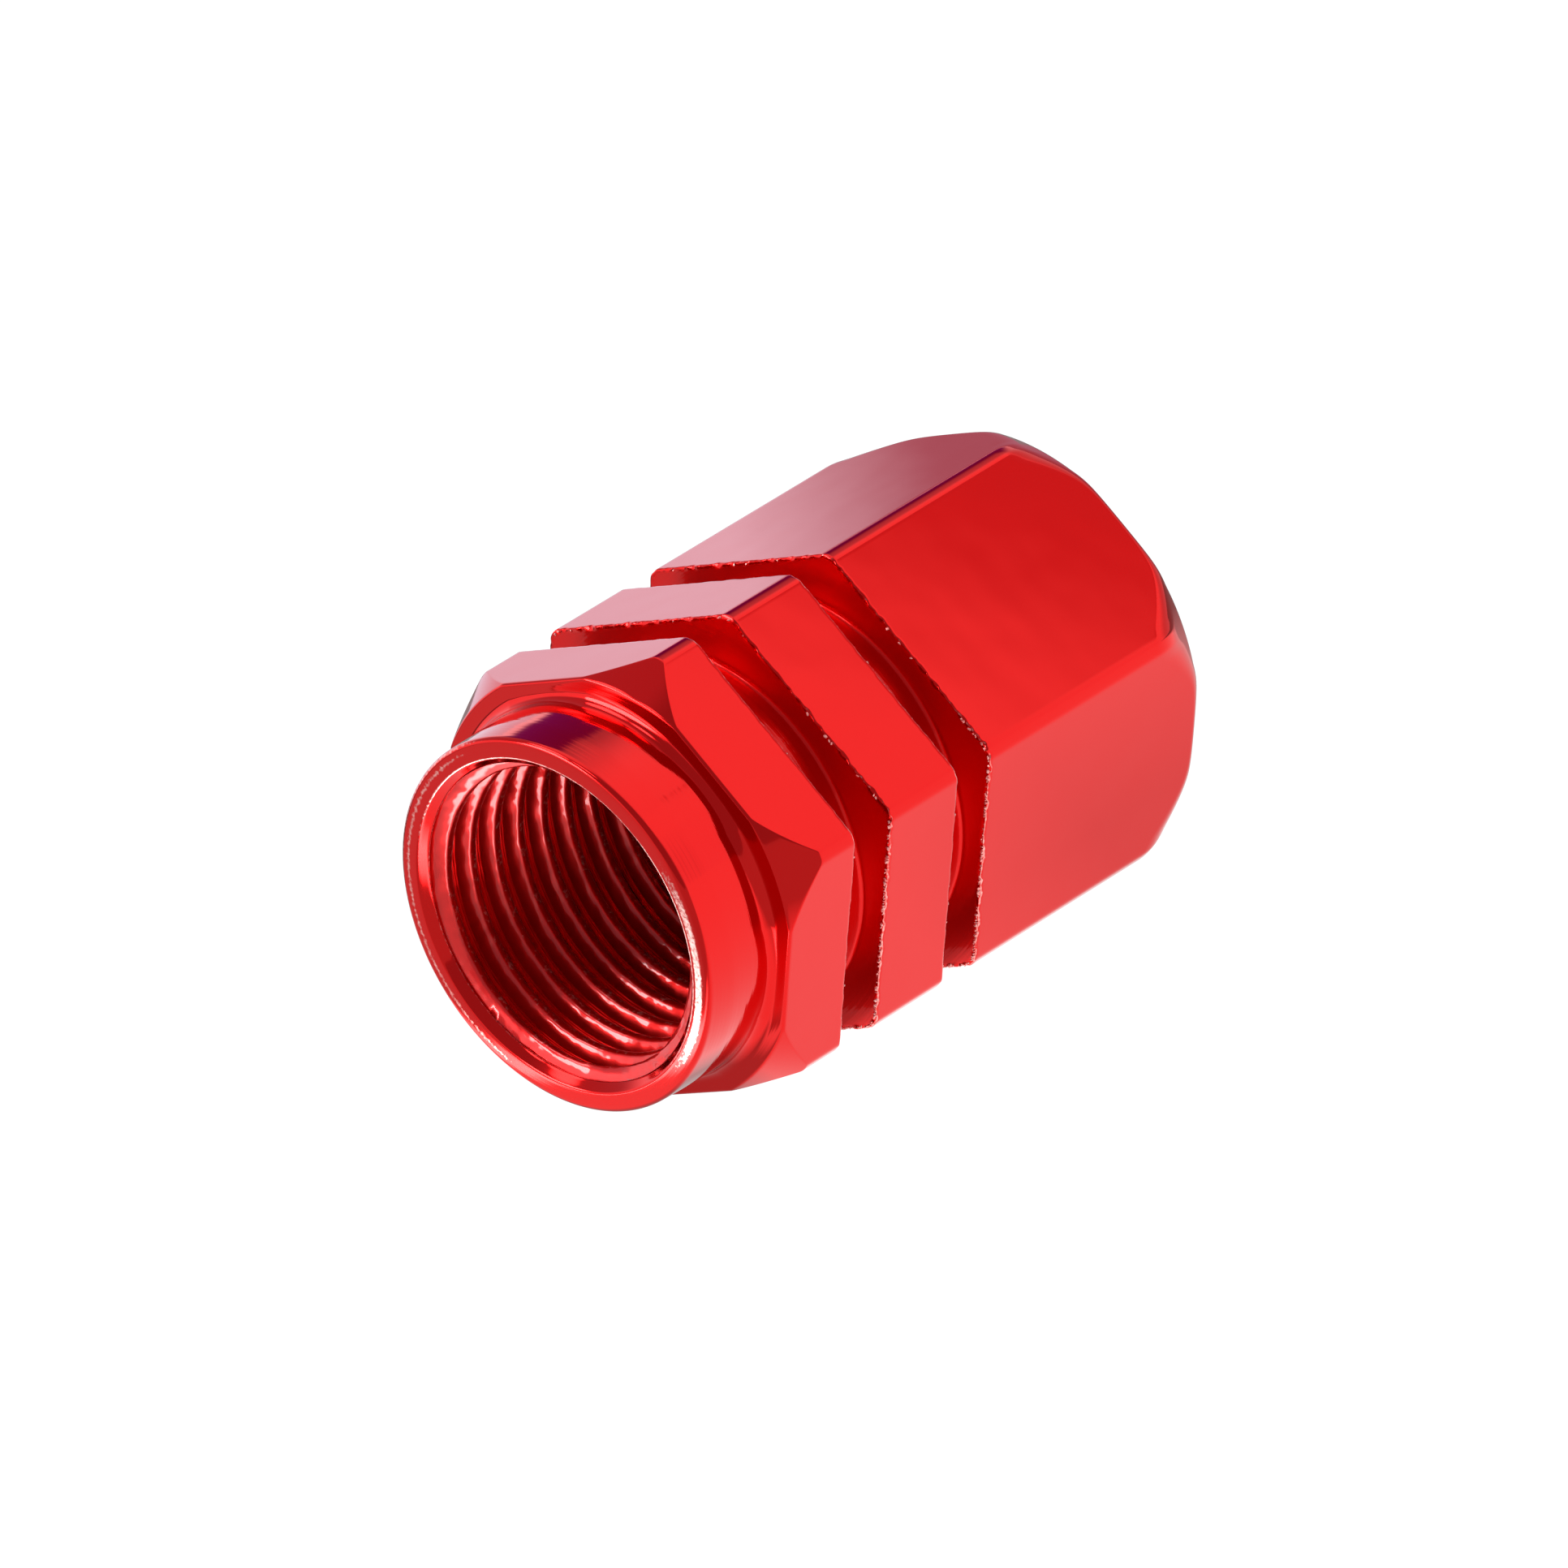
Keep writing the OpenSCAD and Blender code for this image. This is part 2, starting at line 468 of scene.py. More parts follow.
# Shares by side for the painted mouth highlights, on the top, the near and the far side; the near share
# also widens the mouth's rounding.
TOP_HIGHLIGHT_SIDE = side(20, 0, 1.6)
NEAR_HIGHLIGHT_SIDE = side(110, -2.2, 3.4)
FAR_HIGHLIGHT_SIDE = side(-75, 0, 1.6)
SUPPORT_GAP = 0.05
SUPPORT_SHARE = 0.3
LONG_SIDE = 4 * SUPPORT_GAP
WALL_START = 0.1


def soft_maximum(a, b, softness):
    """The larger of two numbers, with a smooth change from one to the other."""
    return softness * np.logaddexp(a / softness, b / softness)


def corner(x, radius, made, rounding=0, steps=1, wear_and_highlight=0):
    """One corner of the outline: its points, rounding, arc steps and two marks."""
    return spot(x, radius), rounding, steps, made, wear_and_highlight


def outline_corners():
    """Corners of the outline in order, from the drill point to the closed end."""
    front_r = ROUND_CORNER_R - FRONT_CHAMFER * CHAMFER_SLOPE
    rear_r = ROUND_CORNER_R - REAR_CHAMFER * CHAMFER_SLOPE
    step_r = np.minimum(front_r, HEX_R - SMALLEST_EDGE)
    front_x = COLLAR_LENGTH + np.maximum((HEX_R - front_r) / CHAMFER_SLOPE, SMALLEST_EDGE)
    end_r = -soft_maximum(np.full(len(ANGLES), -rear_r), END_BREAK - HEX_R, END_SOFTNESS)
    rear_x = CAP_LENGTH - soft_maximum((HEX_R - rear_r) / CHAMFER_SLOPE, END_BREAK, REAR_SOFTNESS)
    # Pale metal colour at the lip and the mouth: partly wear, and on the top, near and far sides painted
    # highlight.
    lip_wear_and_highlight = 0.75 + 0.2 * FAR_HIGHLIGHT_SIDE
    mouth_wear_and_highlight = 0.3 + 0.65 * TOP_HIGHLIGHT_SIDE + 0.75 * NEAR_HIGHLIGHT_SIDE
    band_highlight = BAND_HIGHLIGHT * NEAR_HIGHLIGHT_SIDE
    corners = [
        corner(BORE_BOTTOM + DRILL_POINT_DEPTH, CENTRE_R, TURNED),
        corner(BORE_BOTTOM, DRILL_POINT_R, TURNED),
        corner(BORE_BOTTOM, RELIEF_R, TURNED),
        corner(THREAD_END, RELIEF_R, TURNED),
        corner(THREAD_END, THREAD_ROOT_R, TURNED),
        corner(LIP_DEPTH + LIP_LENGTH, THREAD_ROOT_R, TURNED),
        corner(LIP_DEPTH, LIP_R, TURNED, LIP_ROUND, 4, lip_wear_and_highlight),
        corner(0, MOUTH_R, TURNED, MOUTH_ROUND + MOUTH_ROUND * NEAR_HIGHLIGHT_SIDE, 8, mouth_wear_and_highlight),
        # The band and the rim's rounding carry only painted highlight.
        corner(0, MOUTH_R + HIGHLIGHT_BAND[0], TURNED, wear_and_highlight=band_highlight),
        corner(0, MOUTH_R + HIGHLIGHT_BAND[1], TURNED, wear_and_highlight=band_highlight + 0.85 * FAR_HIGHLIGHT_SIDE),
        corner(0, COLLAR_R - COLLAR_CROWN, TURNED, RIM_ROUND, 8, 0.95 * FAR_HIGHLIGHT_SIDE),
        corner(CROWN_X, COLLAR_R - 0.1 * COLLAR_CROWN, TURNED, CROWN_ROUND, 5),
        corner(COLLAR_LENGTH, COLLAR_R, TURNED, COLLAR_FILLET, 10),
        corner(COLLAR_LENGTH, step_r, TURNED, STEP_ROUND, 3),
        corner(front_x, HEX_R, POLISHED, CHAMFER_ROUND, 3),
    ]
    for number, place in enumerate(RING_EDGES):
        travel, width = edge_line(number)
        edge = corner(place + travel, HEX_R, POLISHED, width, 4, edge_wear(number))
        wall = corner(place, HEX_R - WALL_START, DULL)
        floor = corner(place, GROOVE_FLOOR_R, DULL, GROOVE_FILLET, 5)
        corners += [floor, wall, edge] if is_torn(number) else [edge, wall, floor]
    corners += [
        corner(rear_x, HEX_R, POLISHED, REAR_ROUND, 8),
        corner(CAP_LENGTH, end_r, TURNED, END_ROUND, 8),
        corner(CAP_LENGTH, CENTRE_R, TURNED),
    ]
    return corners


def outline_rows():
    """Rows of outline points with their turned marks and their marks of wear and painted highlight,
    ready to skin.
    """
    corners = outline_corners()
    arcs = []
    for i, (point, radius, steps, _, _) in enumerate(corners):
        if steps > 1:
            arcs.append(rounded(corners[i - 1][0], point, corners[i + 1][0], radius, steps))
        else:
            arcs.append([point])
    rows, marks = [], []
    for i, (_, _, _, turned, wear_and_highlight) in enumerate(corners):
        rows += arcs[i]
        swell = np.sin(np.pi * (np.arange(len(arcs[i])) + 0.5) / len(arcs[i]))
        marks += [(turned, wear_and_highlight * share) for share in swell]
        if i + 1 < len(corners):
            gap = arcs[i + 1][0] - arcs[i][-1]
            length = np.linalg.norm(gap, axis=1)
            if length.max() > LONG_SIDE:
                share = np.minimum(SUPPORT_GAP / length, SUPPORT_SHARE)[:, None]
                rows += [arcs[i][-1] + gap * share, arcs[i + 1][0] - gap * share]
                marks += [(turned, 0), (corners[i + 1][3], 0)]
    return rows, marks


ROWS, MARKS = outline_rows()
print(len(ROWS), "rings of points along the outline")

# %% [markdown]
# One skin over all slices
#
# Neighbouring slices have matching points, so four-sided faces join them, and the last slice
# joins the first. Points that coincide are merged, the two poles on the axis are closed, and
# all faces are turned outwards. The two marks become attributes of the mesh, which the metal's
# material reads by their names.

# %% Skin the slices
MERGE_MM = 0.0004


def body_mesh(name):
    """Closed mesh of the whole body, laid down along X with its marks as attributes."""
    count = len(ANGLES)
    points = []
    for row in ROWS:
        across = -row[:, 1] * np.sin(ANGLES)
        up = AXIS_Z + row[:, 1] * np.cos(ANGLES)
        points.append(np.stack([MOUTH_X + row[:, 0], across, up], 1) * MM)
    here = np.arange(count)
    there = (here + 1) % count
    faces = []
    for k in range(len(ROWS) - 1):
        a, b = k * count, (k + 1) * count
        faces.append(np.stack([a + here, b + here, b + there, a + there], 1))
    mesh = bpy.data.meshes.new(name)
    mesh.from_pydata(np.concatenate(points).tolist(), [], np.concatenate(faces).tolist())
    for label, column in (("turned", 0), ("wear_and_highlight", 1)):
        layer = mesh.attributes.new(label, "FLOAT", "POINT")
        values = np.concatenate([np.full(count, mark[column]) for mark in MARKS])
        layer.data.foreach_set("value", values)
    return mesh


def close_up(mesh):
    """Joins the points that coincide, closes the poles and turns all faces outwards."""
    work = bmesh.new()
    work.from_mesh(mesh)
    bmesh.ops.remove_doubles(work, verts=work.verts, dist=MERGE_MM * MM)
    open_edges = [e for e in work.edges if e.is_boundary]
    bmesh.ops.contextual_create(work, geom=open_edges)
    bmesh.ops.recalc_face_normals(work, faces=work.faces)
    loose = sum(not e.is_manifold for e in work.edges)
    work.to_mesh(mesh)
    work.free()
    return loose


shell_mesh = body_mesh("cap_shell")
open_count = close_up(shell_mesh)
shell_mesh.shade_smooth()
shell_mesh.materials.append(CAP_METAL)
shell = bpy.data.objects.new("cap_shell", shell_mesh)
bpy.context.collection.objects.link(shell)
print("body skin:", len(shell_mesh.polygons), "faces,", open_count, "open edges")

# %% [markdown]
# Geometry Nodes helpers
#
# What follows a rule or repeats, such as a thread or a row of chips, is grown by a node tree.
# The trees below work in millimetres and scale the result to metres in their last step. One
# function opens a tree with named sizes and another runs it once and keeps the plain mesh.


# %% Helpers for grown shapes
def new_growth(name, sizes):
    """An empty Geometry Nodes tree whose inputs are the named sizes, and its input node."""
    tree = bpy.data.node_groups.new(name, "GeometryNodeTree")
    for label, value in sizes.items():
        kind = "NodeSocketInt" if isinstance(value, int) else "NodeSocketFloat"
        tree.interface.new_socket(label, in_out="INPUT", socket_type=kind)
    tree.interface.new_socket("Geometry", in_out="OUTPUT", socket_type="NodeSocketGeometry")
    return tree, tree.nodes.new("NodeGroupInput")


def lay_down(tree, geometry, material):
    """Last nodes of a tree: lay the shape along X in metres, realize it and give its material."""
    laid = add(
        tree, "GeometryNodeTransform", {"Geometry": geometry},
        {
            "Translation": (MOUTH_X * MM, 0, AXIS_Z * MM), "Rotation": (0, math.pi / 2, 0),
            "Scale": (MM, MM, MM),
        },
    )
    real = add(tree, "GeometryNodeRealizeInstances", {"Geometry": laid.outputs[0]})
    finished = add(
        tree, "GeometryNodeSetMaterial", {"Geometry": real.outputs[0]}, {"Material": material},
    )
    add(tree, "NodeGroupOutput", {"Geometry": finished.outputs[0]})


def grow(name, tree, sizes):
    """Runs a tree with its sizes and keeps the result as a plain mesh object."""
    piece = bpy.data.objects.new(name, bpy.data.meshes.new(name))
    bpy.context.collection.objects.link(piece)
    growth = piece.modifiers.new(name, "NODES")
    growth.node_group = tree
    for socket in tree.interface.items_tree:
        if socket.in_out == "INPUT":
            growth[socket.identifier] = sizes[socket.name]
    graph = bpy.context.evaluated_depsgraph_get()
    mesh = bpy.data.meshes.new_from_object(
        piece.evaluated_get(graph), preserve_all_data_layers=True, depsgraph=graph,
    )
    piece.modifiers.clear()
    piece.data = mesh
    mesh.name = name
    return piece


# %% [markdown]
# The valve thread
#
# A tap cuts the thread: 32 turns to the inch, so one turn every 0.794 mm, with flanks at 60
# degrees and a small flat crest. A spiral curve with a trapezoid swept along it is the same
# rule. The spiral starts outside the mouth and its first turn runs out behind the lip of the
# countersink: points nearer the axis than a steep cone are pushed back to it. The last turn is
# cut square where the relief begins, and only the crests, which a valve rubs, are worn.

# %% Grow the thread
THREAD_START = -0.49
THREAD_OVERRUN = 0.95
FIRST_DEPTH = 0.22
RUN_OUT_R = 4.6
RUN_OUT_SLOPE = 3.2
BUMPS_PER_MM = 3.5
CREST_BAND = (0.12, 0.03)
CREST_WEAR = 0.68
THREAD_SIZES = {
    "Pitch": THREAD_PITCH,
    "Turns": (THREAD_END + THREAD_OVERRUN) / THREAD_PITCH,
    "Steps per turn": 96,
    "Middle radius": (RELIEF_R + THREAD_CREST_R) / 2,
    "Height": RELIEF_R - THREAD_CREST_R,
    "Root width": 0.64,
    "Crest width": 0.2,
    "Crest rounding": 0.1,
    "Unevenness": 0.05,
}


def thread_tree():
    """Tree that sweeps the thread's section along a spiral and cuts both of its ends."""
    tree, sizes = new_growth("valve_thread", THREAD_SIZES)
    size = sizes.outputs
    rise = add(tree, "ShaderNodeMath", {0: size["Turns"], 1: size["Pitch"]}, operation="MULTIPLY")
    path = add(
        tree, "GeometryNodeCurveSpiral",
        {
            "Resolution": size["Steps per turn"], "Rotations": size["Turns"], "Height": rise.outputs[0],
            "Start Radius": size["Middle radius"], "End Radius": size["Middle radius"],
        },
        {"Reverse": True},
    )
    placed = add(
        tree, "GeometryNodeTransform", {"Geometry": path.outputs[0]},
        {"Translation": (0, 0, THREAD_START)},
    )
    upright = add(tree, "GeometryNodeSetCurveNormal", {"Curve": placed.outputs[0]}, mode="Z_UP")
    section = add(
        tree, "GeometryNodeCurvePrimitiveQuadrilateral",
        {
            "Height": size["Height"], "Bottom Width": size["Root width"],
            "Top Width": size["Crest width"],
        },
        {"Offset": 0.0}, mode="TRAPEZOID",
    )
    turned = add(
        tree, "GeometryNodeTransform", {"Geometry": section.outputs[0]},
        {"Rotation": (0, 0, math.pi / 2)},
    )
    rounded_section = add(
        tree, "GeometryNodeFilletCurve",
        {"Curve": turned.outputs[0], "Radius": size["Crest rounding"]},
        {"Count": 3, "Limit Radius": True}, mode="POLY",
    )
    swept = add(
        tree, "GeometryNodeCurveToMesh",
        {"Curve": upright.outputs[0], "Profile Curve": rounded_section.outputs[0]},
        {"Fill Caps": True},
    )

    place = add(tree, "GeometryNodeInputPosition").outputs[0]
    axes = add(tree, "ShaderNodeSeparateXYZ", {0: place})
    flat = add(tree, "ShaderNodeCombineXYZ", {"X": axes.outputs["X"], "Y": axes.outputs["Y"]})
    radius = add(tree, "ShaderNodeVectorMath", {0: flat.outputs[0]}, operation="LENGTH")
    depth = add(
        tree, "ShaderNodeClamp", {"Value": axes.outputs["Z"]},
        {"Min": FIRST_DEPTH, "Max": THREAD_END},
    )
    slope = add(
        tree, "ShaderNodeMath", {0: depth.outputs[0]}, {1: RUN_OUT_SLOPE}, operation="MULTIPLY",
    )
    cone = add(tree, "ShaderNodeMath", {1: slope.outputs[0]}, {0: RUN_OUT_R}, operation="SUBTRACT")
    bumps = add(
        tree, "ShaderNodeTexNoise", {"Vector": place}, {"Scale": BUMPS_PER_MM, "Detail": 2.0},
    )
    uneven = add(
        tree, "ShaderNodeMath", {0: bumps.outputs["Fac"], 1: size["Unevenness"]},
        operation="MULTIPLY",
    )
    ragged = add(
        tree, "ShaderNodeMath", {0: radius.outputs["Value"], 1: uneven.outputs[0]},
        operation="ADD",
    )
    kept = add(
        tree, "ShaderNodeMath", {0: ragged.outputs[0], 1: cone.outputs[0]}, operation="MAXIMUM",
    )
    outwards = add(tree, "ShaderNodeVectorMath", {0: flat.outputs[0]}, operation="NORMALIZE")
    pushed = add(
        tree, "ShaderNodeVectorMath", {0: outwards.outputs[0], "Scale": kept.outputs[0]},
        operation="SCALE",
    )
    height = add(tree, "ShaderNodeCombineXYZ", {"Z": depth.outputs[0]})
    new_place = add(
        tree, "ShaderNodeVectorMath", {0: pushed.outputs[0], 1: height.outputs[0]},
        operation="ADD",
    )
    cut = add(
        tree, "GeometryNodeSetPosition",
        {"Geometry": swept.outputs[0], "Position": new_place.outputs[0]},
    )
    marked = add(
        tree, "GeometryNodeStoreNamedAttribute", {"Geometry": cut.outputs[0]},
        {"Name": "turned", "Value": TURNED}, data_type="FLOAT", domain="POINT",
    )
    crest = add(
        tree, "ShaderNodeMapRange", {"Value": kept.outputs[0]},
        {
            "From Min": THREAD_CREST_R + CREST_BAND[0], "From Max": THREAD_CREST_R + CREST_BAND[1],
            "To Max": CREST_WEAR,
        },
    )
    worn_too = add(
        tree, "GeometryNodeStoreNamedAttribute",
        {"Geometry": marked.outputs[0], "Value": crest.outputs[0]},
        {"Name": "wear_and_highlight"}, data_type="FLOAT", domain="POINT",
    )
    lay_down(tree, worn_too.outputs[0], TAPPED_METAL)
    return tree


thread = grow("valve_thread", thread_tree(), THREAD_SIZES)
thread.data.shade_smooth()
print("thread:", len(thread.data.polygons), "faces")

# %% [markdown]
# Chips on the groove edges
#
# The parting tool tears the thin dyed film where a groove breaks through a flat, and tiny
# crumbs of bare metal stay along the edge. They are far too small to place by hand, so a tree
# walks round the hexagon at each edge and leaves crumbs at random spots, with a fixed seed.


# %% Bare metal for the chips
STAINED_CHIP = "D83834"
CLEAN_CHIP = "FFCFC8"
STAIN_MM = 0.2


def bare_aluminium():
    """Torn aluminium with some dye left on it: pale pink grains that catch the light."""
    material, tree = new_material("bare_aluminium")
    place = add(tree, "ShaderNodeTexCoord").outputs["Object"]
    stain = add(
        tree, "ShaderNodeTexNoise", {"Vector": place}, {"Scale": 1 / (STAIN_MM * MM), "Detail": 2.0},
    )
    tint = add(
        tree, "ShaderNodeMix", {"Factor": stain.outputs["Fac"]},
        {"A": colour(STAINED_CHIP), "B": colour(CLEAN_CHIP)}, data_type="RGBA",
    )
    metal = add(
        tree, "ShaderNodeBsdfPrincipled", {"Base Color": tint.outputs["Result"]},
        {"Metallic": 1.0, "Roughness": 0.35},
    )
    add(tree, "ShaderNodeOutputMaterial", {"Surface": metal.outputs[0]})
    return material


BARE_ALUMINIUM = bare_aluminium()
print("made", BARE_ALUMINIUM.name)

# %% [markdown]
# Crumbs along the edges
#
# The tree draws the hexagon just inside the flats, so that a crumb stands out by no more than
# a burr does. It walks along the outline in small steps and keeps few of them at the edges
# towards the mouth and many at the torn ones, with more low down than on top. Each crumb is a
# tiny ball of twenty faces, squeezed and turned at random until it looks broken.

# %% Grow the chips
CHIP_INSET = 0.055
CHIP_SIZES = {
    "Sharp corner radius": (HALF_FLATS - CHIP_INSET) / math.cos(HALF_SIDE),
    "Corner rounding": CORNER_ROUND,
    "Spacing": 0.07,
    "Smallest": 0.015,
    "Largest": 0.06,
    "Seed": 7,
}
CHIP_SHARES = (0.08, 0.8, 0.1, 0.75)
LEAST_SHARE = 0.08
LOW_RANGE = (-1.5, 2.0)
SEED_GAP = 10.0
ANY_TURN = 6.28


def chips_tree():
    """Tree that scatters crumbs along the four groove edges, from one fixed seed."""
    tree, sizes = new_growth("edge_chips", CHIP_SIZES)
    size = sizes.outputs
    hexagon = add(
        tree, "GeometryNodeCurvePrimitiveCircle", {"Radius": size["Sharp corner radius"]},
        {"Resolution": 6}, mode="RADIUS",
    )
    turned = add(
        tree, "GeometryNodeTransform", {"Geometry": hexagon.outputs[0]},
        {"Rotation": (0, 0, HALF_SIDE)},
    )
    outline = add(
        tree, "GeometryNodeFilletCurve", {"Curve": turned.outputs[0], "Radius": size["Corner rounding"]},
        {"Count": 6}, mode="POLY",
    )
    walk = add(
        tree, "GeometryNodeResampleCurve",
        {"Curve": outline.outputs[0], "Length": size["Spacing"]}, mode="LENGTH",
    )
    crumb = add(tree, "GeometryNodeMeshIcoSphere", values={"Radius": 1.0, "Subdivisions": 1})
    joined = add(tree, "GeometryNodeJoinGeometry")
    place_there = add(tree, "GeometryNodeInputPosition").outputs[0]
    downwards = add(tree, "ShaderNodeSeparateXYZ", {0: place_there}).outputs["X"]
    low_side = add(
        tree, "ShaderNodeMapRange", {"Value": downwards},
        {"From Min": LOW_RANGE[0], "From Max": LOW_RANGE[1], "To Min": LEAST_SHARE},
    )
    for number, (place, share) in enumerate(zip(RING_EDGES, CHIP_SHARES)):
        seed = add(tree, "ShaderNodeMath", {0: size["Seed"]}, {1: SEED_GAP * number}, operation="ADD")
        loop = add(
            tree, "GeometryNodeTransform", {"Geometry": walk.outputs[0]},
            {"Translation": (0, 0, place)},
        )
        chance = add(
            tree, "ShaderNodeMath", {0: low_side.outputs[0]}, {1: share}, operation="MULTIPLY",
        )
        chosen = add(
            tree, "FunctionNodeRandomValue",
            {"Seed": seed.outputs[0], "Probability": chance.outputs[0]}, data_type="BOOLEAN",
        )
        scale = add(
            tree, "FunctionNodeRandomValue",
            {"Min": size["Smallest"], "Max": size["Largest"], "Seed": seed.outputs[0]},
            data_type="FLOAT_VECTOR",
        )
        spin = add(
            tree, "FunctionNodeRandomValue", {"Seed": seed.outputs[0]},
            {"Min": (0, 0, 0), "Max": (ANY_TURN, ANY_TURN, ANY_TURN)}, data_type="FLOAT_VECTOR",
        )
        crumbs = add(
            tree, "GeometryNodeInstanceOnPoints",
            {
                "Points": loop.outputs[0], "Selection": chosen.outputs["Value"],
                "Instance": crumb.outputs[0], "Rotation": spin.outputs["Value"],
                "Scale": scale.outputs["Value"],
            },
        )
        tree.links.new(crumbs.outputs[0], joined.inputs[0])
    lay_down(tree, joined.outputs[0], BARE_ALUMINIUM)
    return tree


chips = grow("edge_chips", chips_tree(), CHIP_SIZES)
print("chips:", len(chips.data.polygons), "faces")

# %% [markdown]
# Sealing washer
#
# The black rubber ring at the bottom of the bore is simple, and its measured shape is right,
# so it keeps its mesh and only gets its finish: matt, nearly black, with a faint grey bloom.


# %% Rubber for the washer
BLACK_RUBBER = "151515"
RUBBER_BLOOM = "2B2A29"
BLOOM_MM = 0.8
RUBBER_GRAIN_MM = 0.12
RUBBER_DEPTH_MM = 0.01


def seal_rubber():
    """Moulded rubber: it swallows light and shows only a soft, slightly grey sheen."""
    material, tree = new_material("seal_rubber")
    place = add(tree, "ShaderNodeTexCoord").outputs["Object"]
    bloom = add(
        tree, "ShaderNodeTexNoise", {"Vector": place}, {"Scale": 1 / (BLOOM_MM * MM), "Detail": 3.0},
    )
    tint = add(
        tree, "ShaderNodeMix", {"Factor": bloom.outputs["Fac"]},
        {"A": colour(BLACK_RUBBER), "B": colour(RUBBER_BLOOM)}, data_type="RGBA",
    )
    grain = add(
        tree, "ShaderNodeTexNoise", {"Vector": place},
        {"Scale": 1 / (RUBBER_GRAIN_MM * MM), "Detail": 2.0},
    )
    bump = add(
        tree, "ShaderNodeBump", {"Height": grain.outputs["Fac"]},
        {"Strength": 0.4, "Distance": RUBBER_DEPTH_MM * MM},
    )
    rubber = add(
        tree, "ShaderNodeBsdfPrincipled",
        {"Base Color": tint.outputs["Result"], "Normal": bump.outputs[0]}, {"Roughness": 0.7},
    )
    add(tree, "ShaderNodeOutputMaterial", {"Surface": rubber.outputs[0]})
    return material


SEAL_RUBBER = seal_rubber()
washer = bpy.data.objects["sealing_washer"]
for slot in washer.material_slots:
    slot.material = SEAL_RUBBER
print("washer has", len(washer.material_slots), "material slot")

# %% [markdown]
# The light table
#
# A small part for a catalogue often lies on a light table, white paper lit from below. The
# paper glows so evenly that no shade gathers round the part, which then seems cut out on
# white. An emission shader does the same. The metal does not mirror this sheet, because what
# it mirrors there gets a sheet of its own in the next step. All flat sheets of the stage have
# four corners and one material, so one function makes them.

# %% Lay the light table
TABLE_SIZE = 3.0
TABLE_GLOW = 1.08
SQUARE = ((-1, -1), (1, -1), (1, 1), (-1, 1))


def light_table():
    """White paper lit from below, so evenly that the cap leaves no shade on it."""
    material, tree = new_material("light_table")
    glow = add(tree, "ShaderNodeEmission", values={"Color": colour("FFFFFF"), "Strength": TABLE_GLOW})
    add(tree, "ShaderNodeOutputMaterial", {"Surface": glow.outputs[0]})
    return material


def table_corners(height):
    """Corners of a square as wide as the table, at one height."""
    half = TABLE_SIZE / 2
    return [(x * half, y * half, height) for x, y in SQUARE]


def flat_sheet(name, corners, material):
    """A sheet between four corners, made of one material."""
    mesh = bpy.data.meshes.new(name)
    mesh.from_pydata(corners, [], [(0, 1, 2, 3)])
    mesh.materials.append(material)
    sheet = bpy.data.objects.new(name, mesh)
    bpy.context.collection.objects.link(sheet)
    return sheet


floor = flat_sheet("floor", table_corners(0), light_table())
floor.visible_glossy = False
print("light table %.1f m wide" % TABLE_SIZE)

# %% [markdown]
# The table as the metal mirrors it
#
# The lower flats, the grooves and the crests of the thread all mirror the table, and an evenly
# white one would leave them without shape. So only the metal sees this second sheet, a hair
# below the first. It is dark under the cap, where a real table lies in the cap's shade, which
# draws the dark line under the collar. A bright strip in front of the mouth gives the thread
# its glints. Each patch fades the whole sheet to a new brightness along one direction, and a
# later patch covers an earlier one.

# %% Lay the mirrored sheet
SHEET_WHITE = 1.25
SHEET_DROP_MM = 0.02
SHEET_PATCHES = (
    # direction on the table, start and end of the fade (mm), brightness that it fades to
    ((1.00, 0.00, 0.00), 0.0, 6.0, 1.0),
    ((0.00, 1.00, 0.00), -2.3, -1.3, 0.55),
    ((0.00, 1.00, 0.00), 4.5, 6.0, 1.25),
    ((-1.00, 0.00, 0.00), 8.0, 9.0, 1.25),
    ((-1.00, 0.00, 0.00), 11.2, 12.2, 11.0),
    ((-1.00, 0.00, 0.00), 13.5, 14.5, 0.8),
    ((0.00, -1.00, 0.00), 4.0, 8.0, 1.3),
    ((-0.85, -0.527, 0.00), 10.0, 14.0, 0.62),
    ((0.00, 1.00, 0.00), 7.0, 15.0, 0.8),
    ((0.66, 0.75, 0.00), 16.0, 24.0, 0.3),
)


def mirrored_sheet():
    """Glow that changes over the table, one fade laid over another."""
    material, tree = new_material("mirrored_sheet")
    place = add(tree, "ShaderNodeTexCoord").outputs["Object"]
    below = {}
    for along, start, end, brightness in SHEET_PATCHES:
        reach = add(tree, "ShaderNodeVectorMath", {0: place}, {1: along}, operation="DOT_PRODUCT")
        fade = add(
            tree, "ShaderNodeMapRange", {"Value": reach.outputs["Value"]},
            {"From Min": start * MM, "From Max": end * MM},
        )
        covered = add(
            tree, "ShaderNodeMix", {"Factor": fade.outputs[0], **below},
            {"A": SHEET_WHITE, "B": brightness}, data_type="FLOAT",
        )
        below = {"A": covered.outputs["Result"]}
    glow = add(tree, "ShaderNodeEmission", {"Strength": below["A"]}, {"Color": colour("FFFFFF")})
    add(tree, "ShaderNodeOutputMaterial", {"Surface": glow.outputs[0]})
    return material


def only_mirrored(sheet):
    """Hides a sheet from the camera and from soft light, so that only reflections show it."""
    sheet.visible_camera = False
    sheet.visible_diffuse = False
    sheet.visible_shadow = False


sheet = flat_sheet("floor_card", table_corners(-SHEET_DROP_MM * MM), mirrored_sheet())
only_mirrored(sheet)
print("mirrored sheet with", len(SHEET_PATCHES), "fades")

